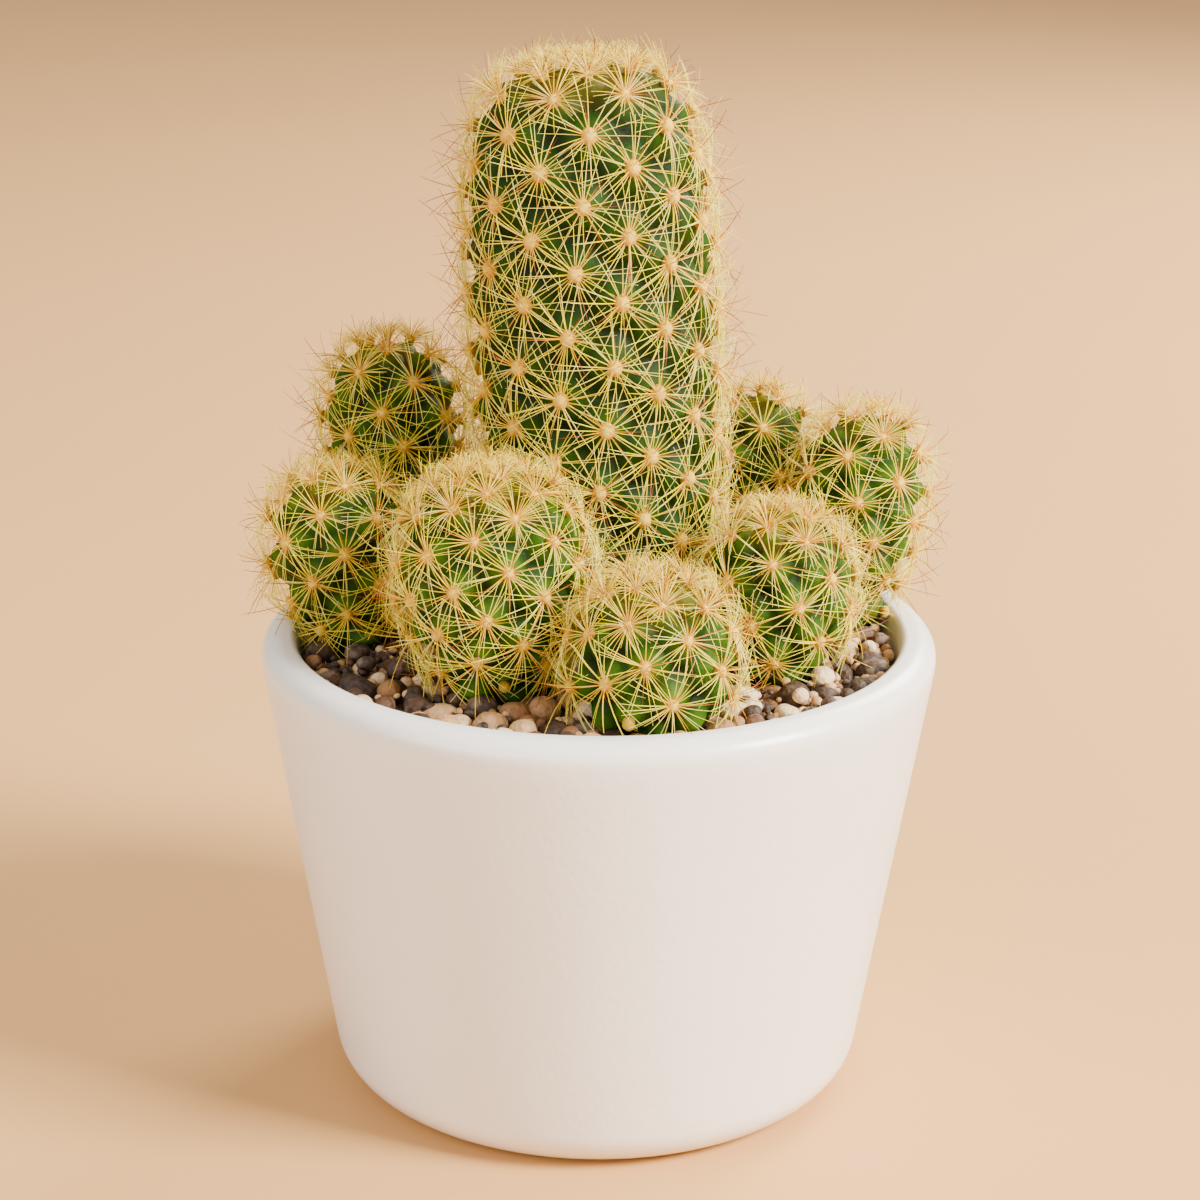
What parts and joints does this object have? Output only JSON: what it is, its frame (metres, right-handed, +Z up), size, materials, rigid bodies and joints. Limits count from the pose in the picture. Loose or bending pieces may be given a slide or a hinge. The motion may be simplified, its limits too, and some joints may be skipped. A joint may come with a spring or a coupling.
{
  "type": "potted ladyfinger cactus",
  "caption": "Clustering ladyfinger cactus with a tall middle stem and round offsets, spiny tubercles, pebble top dressing, in a tapered white glazed pot.",
  "frame": {"origin": "on the pot's axis, in the plane of its foot ring", "axes": "+Z up along the pot's axis, -Y towards the pictured front"},
  "size_m": [0.0837, 0.079, 0.1236],
  "materials": {
    "pot": "satin white glaze",
    "potting_mix": "matt, crumbly",
    "gravel": "matt mixed pebbles",
    "main_stem": "green flesh under pale yellow spines",
    "offset_front_left": "green flesh under pale yellow spines",
    "offset_left": "green flesh under pale yellow spines",
    "offset_back_left": "green flesh under pale yellow spines",
    "offset_front": "green flesh under pale yellow spines",
    "offset_front_right": "green flesh under pale yellow spines",
    "offset_right": "green flesh under pale yellow spines",
    "offset_back_right": "green flesh under pale yellow spines"
  },
  "bodies": {
    "root": {"pot": "pot", "potting_mix": "potting_mix", "gravel": "gravel", "main_stem": "main_stem", "offset_front_left": "offset_front_left", "offset_left": "offset_left", "offset_back_left": "offset_back_left", "offset_front": "offset_front", "offset_front_right": "offset_front_right", "offset_right": "offset_right", "offset_back_right": "offset_back_right"}
  },
  "joints": []
}
